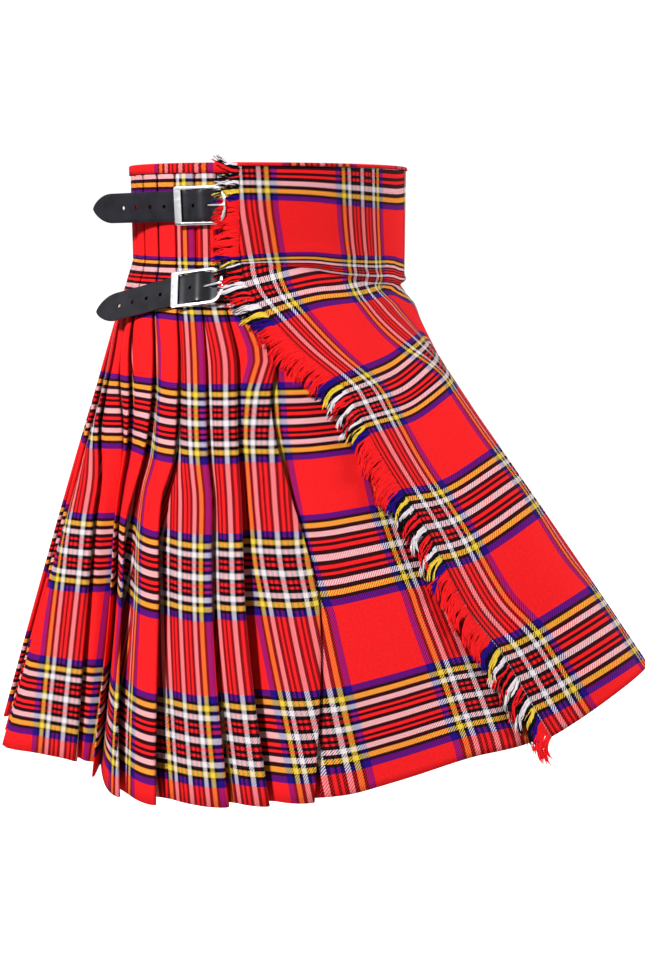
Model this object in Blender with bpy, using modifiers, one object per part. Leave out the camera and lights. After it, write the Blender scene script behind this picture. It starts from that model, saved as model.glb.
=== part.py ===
"""A red tartan kilt, filled out as it is worn, with nobody in it.

Metres, +Z up. The wearer faces -Y, so the right hip is at -X. The origin is the
centre of the waist opening. A place round the kilt is its facing in degrees:
0 is the front, -90 the right hip, 180 the back. A level is -1 at the rim, 0 at
the hip line and 1 at the hem. The third measure, out, is the distance outside
the body ring.
"""
import math
import random

import bmesh
import bpy
from mathutils import Matrix, Vector

# Waist and cloth
WAIST_HALF_WIDTH = 0.165
WAIST_HALF_DEPTH = 0.1445
CLOTH = 0.0012
SEAM_GAP = 0.0004
CLOTH_TOP = -0.0018
APRON_WIDTH = 0.42
UNDER_APRON_WIDTH = 0.37
APRON_OUT = 0.005
UNDER_APRON_OUT = -0.001
UNDER_APRON_RISE = 0.075
# Its columns crowd toward the pleats, where it curves
UNDER_APRON_CROWDING = 1.15

# The body ring: where the cloth reaches at each place round the kilt
RING_COLUMNS = ("facing", "reach", "hem", "hip")
RING = (
    (-23.0, 0.428, -0.539, -0.118),
    (-10.6, 0.467, -0.489, -0.124),
    (2.0, 0.427, -0.510, -0.128),
    (15.0, 0.377, -0.544, -0.130),
    (40.0, 0.328, -0.588, -0.125),
    (75.0, 0.304, -0.603, -0.105),
    (120.0, 0.307, -0.612, -0.100),
    (165.0, 0.312, -0.620, -0.100),
    (210.0, 0.314, -0.621, -0.100),
    (224.0, 0.318, -0.614, -0.100),
    (234.0, 0.323, -0.603, -0.100),
    (240.5, 0.335, -0.594, -0.100),
    (249.5, 0.372, -0.586, -0.100),
    (257.5, 0.351, -0.584, -0.100),
    (264.8, 0.340, -0.585, -0.100),
    (270.0, 0.355, -0.592, -0.100),
    (276.0, 0.371, -0.593, -0.100),
    (284.0, 0.379, -0.592, -0.100),
    (295.0, 0.388, -0.584, -0.100),
    (306.0, 0.395, -0.577, -0.102),
    (317.0, 0.404, -0.560, -0.106),
    (326.0, 0.416, -0.545, -0.112),
)
# How far the flare has opened at a level: a bell, fuller than a straight cone
FLARE_FULLNESS = 0.05

# The outer apron's fringed edge sweeps forward as it falls: level, facing
APRON_EDGE = (
    (-1.0, -70.5),
    (-0.4, -70.5),
    (0.0, -70.3),
    (0.05, -67.5),
    (0.10, -61.2),
    (0.17, -52.0),
    (0.245, -41.8),
    (0.30, -39.2),
    (0.40, -35.9),
    (0.55, -31.0),
    (0.72, -28.0),
    (0.82, -25.0),
    (1.0, -22.8),
)

# The pinch across the front of the hip line
PINCH_DEPTH = 0.006
PINCH_LEVEL = 0.01
PINCH_REACH = 0.045
# facing, share of the depth
PINCH = ((-62.0, 0.0), (-35.0, 0.7), (0.0, 1.0), (40.0, 1.0), (80.0, 0.0))
# Rows of both aprons below their top edge
APRON_LEVELS = (-0.5, -0.035, 0.01, 0.06, 0.12, 0.18, 0.28, 0.39, 0.53, 0.72, 0.86, 1.0)

# Knife pleats: the facing of each fold edge near the right hip at these levels;
# the rest are evenly spaced
FOLD_LEVELS = (0.0, 0.10, 0.18, 0.25, 0.32, 0.39, 0.45, 0.53, 0.66, 1.0)
RIGHT_FOLDS = (
    (218.0, 222.2, 225.3, 228.1, 230.6, 232.8, 234.3, 235.7, 237.5, 240.5),
    (226.0, 230.3, 237.0, 243.7, 248.8, 253.0, 255.4, 256.7, 259.5, 264.8),
    (235.0, 238.4, 244.0, 249.8, 254.3, 257.2, 258.6, 259.5, 261.9, 267.0),
    (244.0, 248.0, 252.0, 255.8, 258.6, 260.4, 260.8, 261.8, 264.3, 269.3),
    (254.5, 258.3, 262.3, 264.7, 266.2, 266.9, 266.0, 265.3, 269.0, 276.8),
    (264.0, 268.8, 272.4, 274.5, 276.0, 276.9, 275.4, 276.3, 278.9, 283.0),
    (272.5, 278.3, 281.2, 282.9, 284.3, 285.8, 287.4, 288.2, 289.5, 294.0),
    (281.0, 286.5, 290.4, 291.4, 292.1, 292.9, 293.7, 294.4, 295.4, 299.5),
    (290.0, 297.0, 302.0, 300.1, 300.6, 302.4, 304.0, 306.2, 308.2, 305.5),
)
# How far behind the others two of those folds hang at the hem
SET_BACK = {2: 0.022, 3: 0.005}
EVEN_FOLDS = 14
PLEAT_OPENS_AT = 0.06
# A pleat narrower than this many degrees hangs shallower in proportion
FULL_PLEAT = 12.0
# One pleat from the tuck under its neighbour to its own tuck: share of the pitch
# and distance out, stitched flat and then fully open at the hem
PLEAT = (
    (0.03, -0.0048, 0.05, -0.021),
    (0.17, 0.0, 0.40, -0.011),
    (0.70, 0.0, 0.75, -0.002),
    (1.0, 0.0, 1.0, 0.0),
    (1.0, -0.0024, 0.97, -0.006),
    (0.70, -0.0024, 0.62, -0.014),
    (0.38, -0.0024, 0.30, -0.018),
    (0.38, -0.0048, 0.28, -0.024),
)

# Waistband: how deep it is inside, and outside on the pleats and on the aprons
BAND_DEEP = 0.013
BAND_DEEP_BACK = 0.010
BAND_DEEP_FRONT = 0.0035
BAND_STEP = 5.0
BAND_CLOTH = 0.0010
BAND_CLEAR = 0.0017
BAND_ROUND = 0.0006

# Fringe along the apron edge
FRINGE_STRIP = 0.004
FRINGE_GAP = 0.0009
FRINGE_STRANDS = 110
FRINGE_CLOTH = 0.0012
# Level, length, droop and lift. The locks are short and stand out where the straps
# pass under them
FRINGE = (
    (-1.0, 0.024, -30.0, 0.003),
    (-0.93, 0.024, 0.0, 0.003),
    (-0.83, 0.024, 4.0, 0.004),
    (-0.80, 0.0040, 2.0, 0.0030),
    (-0.36, 0.0040, 2.0, 0.0030),
    (-0.34, 0.024, 10.0, 0.004),
    (-0.11, 0.024, 14.0, 0.004),
    (-0.08, 0.0105, 4.0, 0.0090),
    (0.12, 0.0105, 8.0, 0.0090),
    (0.15, 0.026, 40.0, 0.005),
    (0.5, 0.028, 38.0, 0.003),
    (0.9, 0.028, 40.0, 0.003),
    (0.985, 0.027, 40.0, 0.003),
    (1.0, 0.019, 62.0, 0.003),
)

# Leather straps and their buckles on the right hip
STRAP_HIGH = 0.0305
STRAP_THICK = 0.0018
STRAP_ROOT_RUNS = (-0.042, -0.0365, -0.031)
STRAP_ROOT_OUT = 0.0027
STRAP_TIP = 0.027
STRAP_POINT = 0.72
HOLE_RADIUS = 0.0021
HOLE_PITCH = 0.0183
TAIL_HOLES = 4
PRONG_HOLE_LONG = 0.0100
PRONG_HOLE_AT = -0.0095
BUCKLE_LONG = 0.056
BUCKLE_AHEAD = 0.030
BUCKLE_HIGH = 0.038
BUCKLE_RAIL = 0.0026
BUCKLE_KEEPER = 0.0072
BUCKLE_THICK = 0.0024
BUCKLE_EDGE = 0.0004
BUCKLE_OUT = 0.0078
BAR_RADIUS = 0.0010
CHAPE_FROM = 0.0016
CHAPE_TO = 0.036
CHAPE_HIGH = 0.026
CHAPE_THICK = 0.0014
CHAPE_OUT = 0.0030
# The strap weaves under the buckle's nose, over its pivot bar, under its keeper:
# run, out
STRAP_WEAVE = (
    (-0.028, 0.0004),
    (-0.0235, 0.0030),
    (-0.017, 0.0044),
    (-0.0115, 0.0050),
    (-0.0045, 0.0091),
    (0.0, 0.0103),
    (0.005, 0.0096),
    (0.0145, 0.0053),
    (0.0225, 0.0048),
    (0.030, 0.0040),
)
# run, out, up, radius
PRONG = (
    (-0.0016, 0.0068, 0.0, 0.0013),
    (-0.0065, 0.0069, 0.0, 0.0013),
    (-0.0112, 0.0082, 0.0, 0.0013),
    (-0.0175, 0.0100, 0.0, 0.0013),
    (-0.0235, 0.0110, 0.0, 0.0013),
    (-0.0272, 0.0108, 0.0, 0.0008),
)
# name, facing, height, tilt, the run at which it leaves the body, the tail's end
FASTENINGS = (
    ("upper", -82.9, -0.042, 1.5, 0.0375, 0.1425),
    ("lower", -82.9, -0.1255, 8.5, 0.0575, 0.1315),
)

RED = (0.62, 0.012, 0.016, 1.0)
DARK_RED = (0.42, 0.008, 0.012, 1.0)
BLACK_LEATHER = (0.010, 0.010, 0.012, 1.0)
SILVER = (0.72, 0.72, 0.74, 1.0)


def remove_all_objects():
    for old in list(bpy.data.objects):
        bpy.data.objects.remove(old, do_unlink=True)


def make_collection(name):
    collection = bpy.data.collections.new(name)
    bpy.context.scene.collection.children.link(collection)
    return collection


def make_material(name, colour, roughness, metallic=0.0):
    material = bpy.data.materials.new(name)
    material.use_nodes = True
    shader = material.node_tree.nodes["Principled BSDF"]
    shader.inputs["Base Color"].default_value = colour
    shader.inputs["Roughness"].default_value = roughness
    shader.inputs["Metallic"].default_value = metallic
    material.diffuse_color = colour
    return material


def smooth_between(rows, column, where, period=None):
    """Read one column of a table at any place, on a smooth curve through its rows."""
    places = [row[0] for row in rows]
    values = [row[column] for row in rows]
    if period:
        where = (where - places[0]) % period + places[0]
        places = [p - period for p in places] + places + [p + period for p in places]
        values = values * 3
    if where <= places[0]:
        return values[0]
    if where >= places[-1]:
        return values[-1]
    i = max(k for k in range(len(places) - 1) if places[k] <= where)
    last = len(places) - 1

    def slope(k):
        before, after = max(k - 1, 0), min(k + 1, last)
        return (values[after] - values[before]) / (places[after] - places[before])

    span = places[i + 1] - places[i]
    t = (where - places[i]) / span
    start = (1 + 2 * t) * (1 - t) ** 2 * values[i] + t * (1 - t) ** 2 * span * slope(i)
    end = t * t * (3 - 2 * t) * values[i + 1] + t * t * (t - 1) * span * slope(i + 1)
    return start + end


def straight_between(rows, column, where):
    """Read one column of a table at any place, straight between its rows."""
    if where <= rows[0][0]:
        return rows[0][column]
    for before, after in zip(rows, rows[1:]):
        if where <= after[0]:
            t = (where - before[0]) / (after[0] - before[0])
            return before[column] + t * (after[column] - before[column])
    return rows[-1][column]


def ring_value(name, facing):
    return smooth_between(RING, RING_COLUMNS.index(name), facing, period=360.0)


def waist_radius(facing):
    turn = math.radians(facing)
    return 1 / math.hypot(math.sin(turn) / WAIST_HALF_WIDTH, math.cos(turn) / WAIST_HALF_DEPTH)


def place(facing, level, out=0.0):
    """The point of the body ring at a facing and a level, moved outward."""
    hip = ring_value("hip", facing)
    radius = waist_radius(facing)
    if level < 0:
        height = hip * (1 + level)
    else:
        opened = level + FLARE_FULLNESS * level * (1 - level)
        radius += (ring_value("reach", facing) - radius) * opened
        height = hip + (ring_value("hem", facing) - hip) * level
    turn = math.radians(facing)
    radius += out
    return Vector((radius * math.sin(turn), -radius * math.cos(turn), height))


def top_level(facing):
    """The level of the cloth's top edge, just under the turn of the waistband."""
    return -1 + CLOTH_TOP / ring_value("hip", facing)


def walk(level, start, distance, out):
    """The facing that lies a distance along the cloth from a start."""
    step = 0.5
    facing = start
    here = place(facing, level, out)
    gone = 0.0
    while True:
        ahead = place(facing + step, level, out)
        stride = (ahead - here).length
        if gone + stride >= distance:
            return facing + step * (distance - gone) / stride
        gone += stride
        facing += step
        here = ahead


def apron_edge(level):
    return smooth_between(APRON_EDGE, 1, level)


def apron_end(level):
    return walk(level, apron_edge(level), APRON_WIDTH, APRON_OUT)


def pinch(facing, level):
    """The crease that the flare pulls into the front just under the hip line."""
    near = max(0.0, 1 - abs(level - PINCH_LEVEL) / PINCH_REACH)
    from_front = (facing + 180.0) % 360.0 - 180.0
    return -PINCH_DEPTH * near * straight_between(PINCH, 1, from_front)


def cloth_object(name, columns, material, collection, thickness=CLOTH):
    """A wall of even thickness from an open surface of columns of points."""
    mesh = bpy.data.meshes.new(name)
    rows = len(columns[0])
    points = [point for column in columns for point in column]
    faces = []
    for c in range(len(columns) - 1):
        for r in range(rows - 1):
            a = c * rows + r
            faces.append((a, a + 1, a + rows + 1, a + rows))
    mesh.from_pydata(points, [], faces)
    mesh.update()
    mesh.materials.append(material)
    mesh.shade_smooth()
    piece = bpy.data.objects.new(name, mesh)
    collection.objects.link(piece)
    wall = piece.modifiers.new("Wall", "SOLIDIFY")
    wall.thickness = thickness
    wall.offset = 0.0
    wall.use_even_offset = True
    return piece


def build_front_apron(material, collection):
    across = 26
    columns = []
    for c in range(across + 1):
        column = []
        for level in (top_level(-20.0),) + APRON_LEVELS:
            facing = apron_edge(level)
            if c:
                facing = walk(level, facing, APRON_WIDTH * c / across, APRON_OUT)
            column.append(place(facing, level, APRON_OUT + pinch(facing, level)))
        columns.append(column)
    return cloth_object("front_apron", columns, material, collection)


def fold_facing(fold, level):
    """Where a fold edge lies at a level; fold 0 is beside the left hip."""
    down = max(level, 0.0)
    if fold >= EVEN_FOLDS:
        rows = tuple(zip(FOLD_LEVELS, RIGHT_FOLDS[fold - EVEN_FOLDS]))
        return smooth_between(rows, 1, down)
    first = apron_end(level)
    last = fold_facing(EVEN_FOLDS, level)
    return first + (last - first) * fold / EVEN_FOLDS


def opening(level):
    """How far the pleats have opened at a level: 0 stitched flat, 1 at the hem."""
    t = min(max((level - PLEAT_OPENS_AT) / (1 - PLEAT_OPENS_AT), 0.0), 1.0)
    return t * (2 - t)


def pleat_depth(before, after, level):
    """How deep a pleat hangs, from 0 stitched flat to 1 for a wide one at the hem."""
    return opening(level) * min((after - before) / FULL_PLEAT, 1.0)


def set_back(fold, level):
    return SET_BACK.get(fold - EVEN_FOLDS, 0.0) * opening(level)


def build_pleated_back(material, collection):
    levels = (-0.03, 0.06, 0.18, 0.28, 0.39, 0.53, 0.72, 1.0)
    rows = [top_level(180.0)] + list(levels)
    folds = EVEN_FOLDS + len(RIGHT_FOLDS)
    grid = []
    for level in rows:
        wide = opening(level)
        edges = [fold_facing(k, level) for k in range(folds)]
        pitch = edges[1] - edges[0]
        tuck = PLEAT[-1]
        along = tuck[0] + (tuck[2] - tuck[0]) * wide
        start_out = tuck[1] + (tuck[3] - tuck[1]) * wide
        line = [place(edges[0] - pitch * (1 - along), level, start_out)]
        for k, (before, after) in enumerate(zip(edges, edges[1:])):
            near, far = set_back(k, level), set_back(k + 1, level)
            deep = pleat_depth(before, after, level)
            for along_shut, out_shut, along_open, out_open in PLEAT:
                along = along_shut + (along_open - along_shut) * wide
                out = out_shut + (out_open - out_shut) * deep
                out -= near + (far - near) * along
                line.append(place(before + (after - before) * along, level, out))
        grid.append(line)
    columns = [[line[k] for line in grid] for k in range(len(grid[0]))]
    return cloth_object("pleated_back", columns, material, collection)


def under_apron_out(distance, level):
    """The under apron leaves the last tuck and comes out to its own layer."""
    tuck = PLEAT[-1]
    last = EVEN_FOLDS + len(RIGHT_FOLDS) - 1
    hung = pleat_depth(fold_facing(last - 1, level), fold_facing(last, level), level)
    deep = tuck[1] + (tuck[3] - tuck[1]) * hung
    risen = min(distance / UNDER_APRON_RISE, 1.0)
    risen = risen * risen * (3 - 2 * risen)
    return deep + (UNDER_APRON_OUT - deep) * risen


def under_apron_start(level):
    last = EVEN_FOLDS + len(RIGHT_FOLDS) - 1
    before, after = fold_facing(last - 1, level), fold_facing(last, level)
    tuck = PLEAT[-1]
    along = tuck[0] + (tuck[2] - tuck[0]) * opening(level)
    start = before + (after - before) * along
    return walk(level, start, CLOTH + SEAM_GAP, UNDER_APRON_OUT)


def build_under_apron(material, collection):
    rows = (top_level(-20.0),) + APRON_LEVELS
    across = 20
    columns = []
    for c in range(across + 1):
        distance = UNDER_APRON_WIDTH * (c / across) ** UNDER_APRON_CROWDING
        column = []
        for level in rows:
            start = under_apron_start(level)
            facing = walk(level, start, distance, UNDER_APRON_OUT) if c else start
            squeeze = pinch(facing, level)
            column.append(place(facing, level, under_apron_out(distance, level) + squeeze))
        columns.append(column)
    return cloth_object("under_apron", columns, material, collection)


def build_waistband(name, first, last, inner, outer, deep_outside, material, collection):
    """A narrow strip folded over the cloth's top edge, inside and out."""
    steps = max(4, round((last - first) / BAND_STEP))
    columns = []
    turn = BAND_CLOTH / 2
    for c in range(steps + 1):
        facing = first + (last - first) * c / steps
        low, high = inner(facing) - BAND_CLEAR, outer(facing) + BAND_CLEAR
        hip = ring_value("hip", facing)
        profile = (
            (low, -BAND_DEEP),
            (low, -turn - BAND_ROUND),
            (low + BAND_ROUND, -turn),
            (high - BAND_ROUND, -turn),
            (high, -turn - BAND_ROUND),
            (high, -deep_outside),
        )
        columns.append([place(facing, -1 + height / hip, out) for out, height in profile])
    return cloth_object(name, columns, material, collection, BAND_CLOTH)


def build_waistbands(material, collection):
    folds = EVEN_FOLDS + len(RIGHT_FOLDS)
    start_back = fold_facing(0, -1.0)
    end_back = fold_facing(folds - 1, -1.0)
    start_under = under_apron_start(-1.0)
    deep = PLEAT[-1][1]

    def apron_layer(facing):
        return APRON_OUT

    def under_layer(facing):
        radius = waist_radius(facing)
        return under_apron_out(math.radians(facing - start_under) * radius, -1.0)

    build_waistband("waistband_front", apron_edge(-1.0), apron_end(-1.0),
                    apron_layer, apron_layer, BAND_DEEP_FRONT, material, collection)
    build_waistband("waistband_back", start_back - 5.0, end_back + 0.3,
                    lambda facing: deep, lambda facing: 0.0, BAND_DEEP_BACK,
                    material, collection)
    end_under = walk(-1.0, start_under, UNDER_APRON_WIDTH, UNDER_APRON_OUT)
    build_waistband("waistband_under", end_back + 1.2, end_under,
                    under_layer, under_layer, BAND_DEEP_FRONT, material, collection)


def build_fringe(material, collection):
    """Frayed weft ends in locks, standing on one narrow strip beside the apron edge."""
    rng = random.Random(11)
    half = FRINGE_CLOTH / 2
    corners = (
        (FRINGE_GAP, -half),
        (FRINGE_GAP, half),
        (FRINGE_GAP + FRINGE_STRIP, half),
        (FRINGE_GAP + FRINGE_STRIP, -half),
    )

    # the strip runs straight between the apron's own rows, so their gap stays even
    rows = (top_level(-20.0),) + APRON_LEVELS
    row_corners = []
    for level in rows:
        facing = apron_edge(level)
        radius = place(facing, level).xy.length
        out = APRON_OUT + pinch(facing, level)
        row_corners.append([
            place(facing - math.degrees(across / radius), level, out + lift)
            for across, lift in corners
        ])
    lengths = [(b[0] - a[0]).length for a, b in zip(row_corners, row_corners[1:])]
    stations = 2 * FRINGE_STRANDS + 1
    rings = []
    levels = []
    for s in range(stations):
        left = sum(lengths) * s / (stations - 1)
        k = 0
        while k < len(lengths) - 1 and left > lengths[k]:
            left -= lengths[k]
            k += 1
        t = left / lengths[k]
        levels.append(rows[k] + (rows[k + 1] - rows[k]) * t)
        rings.append([a.lerp(b, t) for a, b in zip(row_corners[k], row_corners[k + 1])])

    bm = bmesh.new()
    rings = [[bm.verts.new(point) for point in ring] for ring in rings]
    bm.faces.new(rings[0][::-1])
    bm.faces.new(rings[-1])
    for s in range(stations - 1):
        here, after = rings[s], rings[s + 1]
        has_lock = s % 2 == 0
        for c in range(4):
            if c == 2 and has_lock:
                continue
            d = (c + 1) % 4
            bm.faces.new((here[c], here[d], after[d], after[c]))
        if has_lock:
            root = (here[2], here[3], after[3], after[2])
            grow_lock(bm, root, (levels[s] + levels[s + 1]) / 2, rng)
    bmesh.ops.recalc_face_normals(bm, faces=bm.faces)
    mesh = bpy.data.meshes.new("apron_fringe")
    bm.to_mesh(mesh)
    bm.free()
    mesh.materials.append(material)
    piece = bpy.data.objects.new("apron_fringe", mesh)
    collection.objects.link(piece)
    return piece


def grow_lock(bm, root, level, rng):
    """One tapering lock of four sides, from its root on the strip to its tip."""
    length = straight_between(FRINGE, 1, level) * rng.uniform(0.85, 1.05)
    droop = math.radians(straight_between(FRINGE, 2, level) + rng.uniform(-4, 4))
    facing = apron_edge(level)
    radius = place(facing, level).xy.length
    fall = (place(facing, level + 0.01) - place(facing, level)).length / 0.01
    lift = straight_between(FRINGE, 3, level) * rng.uniform(0.9, 1.1)
    before = root
    for share, thick, raised in ((0.45, 0.8, 0.6), (1.0, 0.45, 1.0)):
        across = FRINGE_STRIP + FRINGE_GAP + length * share * math.cos(droop)
        down = length * share * math.sin(droop) * (0.6 + 0.4 * share)
        there = facing - math.degrees(across / radius)
        out = APRON_OUT + lift * raised
        centre = place(there, level + down / fall, out)
        middle = sum((v.co for v in before), Vector()) / 4
        ring = [bm.verts.new(centre + (v.co - middle) * thick) for v in before]
        for c in range(4):
            d = (c + 1) % 4
            bm.faces.new((before[c], before[d], ring[d], ring[c]))
        before = ring
    bm.faces.new(before)


def level_at(facing, height):
    hip = ring_value("hip", facing)
    if height > hip:
        return -1 + height / hip
    return (height - hip) / (ring_value("hem", facing) - hip)


def buckle_matrix(facing, height, tilt):
    """The buckle's frame: X toward the strap's tip, Y outward, Z across the strap."""
    turn = math.radians(facing)
    above, below = (
        place(facing, level_at(facing, height + side * STRAP_HIGH / 2)) for side in (1, -1)
    )
    up = (above - below).normalized()
    along = Vector((-math.cos(turn), -math.sin(turn), 0.0))
    outward = up.cross(along)
    lean = Matrix.Rotation(math.radians(tilt), 3, outward)
    matrix = Matrix((lean @ along, outward, lean @ up)).transposed().to_4x4()
    matrix.translation = (above + below) / 2
    return matrix


def body_drop(matrix, run):
    """How far the body ring lies behind the buckle's flat plane, a run away."""
    outward = matrix.to_3x3().col[1]
    drop = 0.0
    for _ in range(4):
        point = matrix @ Vector((run, -drop, 0.0))
        facing = math.degrees(math.atan2(point.x, -point.y))
        drop += (point - place(facing, level_at(facing, point.z))).dot(outward)
    return drop


def strap_route(matrix, leaves_at, tail):
    """Rows of run and distance out of the strap's middle, from its root to its tip."""
    rows = [(run, STRAP_ROOT_OUT - body_drop(matrix, run)) for run in STRAP_ROOT_RUNS]
    rows += STRAP_WEAVE
    woven_to, woven_out = STRAP_WEAVE[-1]
    standing = woven_out + body_drop(matrix, woven_to)
    held = leaves_at - woven_to
    if held > 0:
        for share in (0.5, 1.0):
            run = woven_to + held * share
            rows.append((run, standing - body_drop(matrix, run)))
    before, last = rows[-2], rows[-1]
    steep = (last[1] - before[1]) / (last[0] - before[0])
    rows.append((tail, last[1] + steep * (tail - last[0])))
    return rows


def strap_half_height(run, tail):
    """Half the strap's height: full along it, drawn in to a blunt point at the tip."""
    past = max(run - (tail - STRAP_TIP), 0.0) / STRAP_TIP
    return STRAP_HIGH / 2 * max(1 - past ** 2, 0.03) ** STRAP_POINT


def applied(piece):
    """The piece with its modifiers made into its mesh."""
    graph = bpy.context.evaluated_depsgraph_get()
    mesh = bpy.data.meshes.new_from_object(piece.evaluated_get(graph))
    piece.modifiers.clear()
    piece.data = mesh
    return piece


def build_strap(name, matrix, leaves_at, tail, material, collection, cutters):
    woven_to = STRAP_WEAVE[-1][0]
    tip = tail - STRAP_TIP
    root = STRAP_ROOT_RUNS[0]
    runs = [root + (woven_to - root) * k / 26 for k in range(27)]
    runs += [woven_to + (tip - woven_to) * k / 5 for k in range(1, 6)]
    runs += [tip + STRAP_TIP * math.sin(math.pi / 2 * k / 6) for k in range(1, 7)]
    columns = []
    for run in runs:
        half = strap_half_height(run, tail)
        columns.append([Vector((run, 0.0, half * k)) for k in (-1, 0, 1)])
    strap = cloth_object(name, columns, material, collection, STRAP_THICK)
    strap.data.flip_normals()
    hole_runs = [(PRONG_HOLE_AT, PRONG_HOLE_LONG / 2)]
    hole_runs.append((PRONG_HOLE_AT + HOLE_PITCH, HOLE_RADIUS))
    first = PRONG_HOLE_AT + 3 * HOLE_PITCH
    hole_runs += [(first + k * HOLE_PITCH, HOLE_RADIUS) for k in range(TAIL_HOLES)]
    for run, half_long in hole_runs:
        bpy.ops.mesh.primitive_cylinder_add(
            vertices=10, radius=HOLE_RADIUS, depth=STRAP_THICK * 4,
            location=(run, 0.0, 0.0), rotation=(math.pi / 2, 0.0, 0.0))
        punch = bpy.context.object
        punch.name = name + "_punch"
        punch.scale.x = half_long / HOLE_RADIUS
        for home in list(punch.users_collection):
            home.objects.unlink(punch)
        cutters.objects.link(punch)
        punch.hide_render = True
        punch.display_type = "WIRE"
        cut = strap.modifiers.new("Punched hole", "BOOLEAN")
        cut.operation = "DIFFERENCE"
        cut.solver = "EXACT"
        cut.object = punch
    applied(strap)
    route = strap_route(matrix, leaves_at, tail)
    near = 0.0005
    for vertex in strap.data.vertices:
        run, thick, up = vertex.co
        rise = smooth_between(route, 1, run + near) - smooth_between(route, 1, run - near)
        steep = math.atan(rise / (2 * near))
        out = smooth_between(route, 1, run) + thick * math.cos(steep)
        vertex.co = matrix @ Vector((run - thick * math.sin(steep), out, up))
    strap.data.update()
    return strap


def rounded_outline(left, right, half, corner, nose):
    """Points of a buckle outline: small corners by the keeper, a round nose."""
    points = []
    for cx, cz, radius, start in (
        (left - corner, half - corner, corner, 0),
        (right + nose, half - nose, nose, 90),
        (right + nose, nose - half, nose, 180),
        (left - corner, corner - half, corner, 270),
    ):
        for k in range(6):
            turn = math.radians(start + 90 * k / 5)
            points.append((cx + radius * math.cos(turn), cz + radius * math.sin(turn)))
    return points


def build_buckle_frame(name, matrix, material, collection):
    """A flat D of metal: two rails, a round nose and a broad keeper bar."""
    half = BUCKLE_HIGH / 2
    keeper_end = BUCKLE_AHEAD
    nose_end = BUCKLE_AHEAD - BUCKLE_LONG
    outline = bpy.data.curves.new(name, "CURVE")
    outline.dimensions = "2D"
    outline.fill_mode = "BOTH"
    outline.extrude = BUCKLE_THICK / 2 - BUCKLE_EDGE
    outline.bevel_depth = BUCKLE_EDGE
    outline.bevel_resolution = 0
    outside = rounded_outline(keeper_end, nose_end, half, 0.002, 0.0135)
    inside = rounded_outline(keeper_end - BUCKLE_KEEPER, nose_end + BUCKLE_RAIL,
                             half - BUCKLE_RAIL, 0.0008, 0.0115)
    for points in (outside, inside):
        spline = outline.splines.new("POLY")
        spline.points.add(len(points) - 1)
        for point, (x, z) in zip(spline.points, points):
            point.co = (x, z, 0.0, 1.0)
        spline.use_cyclic_u = True
    curve = bpy.data.objects.new(name + "_outline", outline)
    collection.objects.link(curve)
    graph = bpy.context.evaluated_depsgraph_get()
    mesh = bpy.data.meshes.new_from_object(curve.evaluated_get(graph))
    bpy.data.objects.remove(curve, do_unlink=True)
    bm = bmesh.new()
    bm.from_mesh(mesh)
    bmesh.ops.remove_doubles(bm, verts=bm.verts, dist=0.00001)
    for vertex in bm.verts:
        x, z, out = vertex.co
        vertex.co = matrix @ Vector((x, BUCKLE_OUT + out, z))
    bmesh.ops.reverse_faces(bm, faces=bm.faces)
    bm.to_mesh(mesh)
    bm.free()
    mesh.name = name
    mesh.materials.clear()
    mesh.materials.append(material)
    frame = bpy.data.objects.new(name, mesh)
    collection.objects.link(frame)
    return frame


def build_rod(name, matrix, route, radii, material, collection):
    """A round rod along a few points, thinner where its radii say."""
    curve = bpy.data.curves.new(name, "CURVE")
    curve.dimensions = "3D"
    curve.bevel_depth = 1.0
    curve.bevel_resolution = 2
    curve.use_fill_caps = True
    spline = curve.splines.new("POLY")
    spline.points.add(len(route) - 1)
    for point, co, radius in zip(spline.points, route, radii):
        point.co = (*(matrix @ Vector(co)), 1.0)
        point.radius = radius
    rod = bpy.data.objects.new(name, curve)
    collection.objects.link(rod)
    curve.materials.append(material)
    return rod


def build_chape(name, matrix, material, collection):
    """The leather tab under the strap that ties the pivot bar to the pleats."""
    runs = [CHAPE_FROM + (CHAPE_TO - CHAPE_FROM) * k / 6 for k in range(7)]
    columns = []
    for run in runs:
        out = CHAPE_OUT - body_drop(matrix, run)
        columns.append([matrix @ Vector((run, out, CHAPE_HIGH / 2 * k)) for k in (1, -1)])
    return cloth_object(name, columns, material, collection, CHAPE_THICK)


def build_fastening(fastening, leather, metal, collection, cutters):
    name, facing, height, tilt, leaves_at, tail = fastening
    matrix = buckle_matrix(facing, height, tilt)
    build_strap(name + "_strap", matrix, leaves_at, tail, leather, collection, cutters)
    build_chape(name + "_chape", matrix, leather, collection)
    build_buckle_frame(name + "_buckle_frame", matrix, metal, collection)
    reach = BUCKLE_HIGH / 2 - BUCKLE_RAIL - BUCKLE_EDGE - SEAM_GAP
    build_rod(name + "_buckle_bar", matrix, ((0.0, BUCKLE_OUT, -reach), (0.0, BUCKLE_OUT, reach)),
              (BAR_RADIUS, BAR_RADIUS), metal, collection)
    build_rod(name + "_buckle_prong", matrix, [row[:3] for row in PRONG],
              [row[3] for row in PRONG], metal, collection)


def main():
    remove_all_objects()
    kilt = make_collection("Tartan kilt")
    cloth = make_material("tartan cloth", RED, 0.85)
    band = make_material("waistband cloth", DARK_RED, 0.85)
    yarn = make_material("fringe yarn", RED, 0.9)
    build_front_apron(cloth, kilt)
    build_pleated_back(cloth, kilt)
    build_under_apron(cloth, kilt)
    build_waistbands(band, kilt)
    build_fringe(yarn, kilt)
    leather = make_material("black leather", BLACK_LEATHER, 0.25)
    metal = make_material("silver metal", SILVER, 0.2, 1.0)
    cutters = make_collection("Cutters")
    for fastening in FASTENINGS:
        build_fastening(fastening, leather, metal, kilt, cutters)


main()
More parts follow.
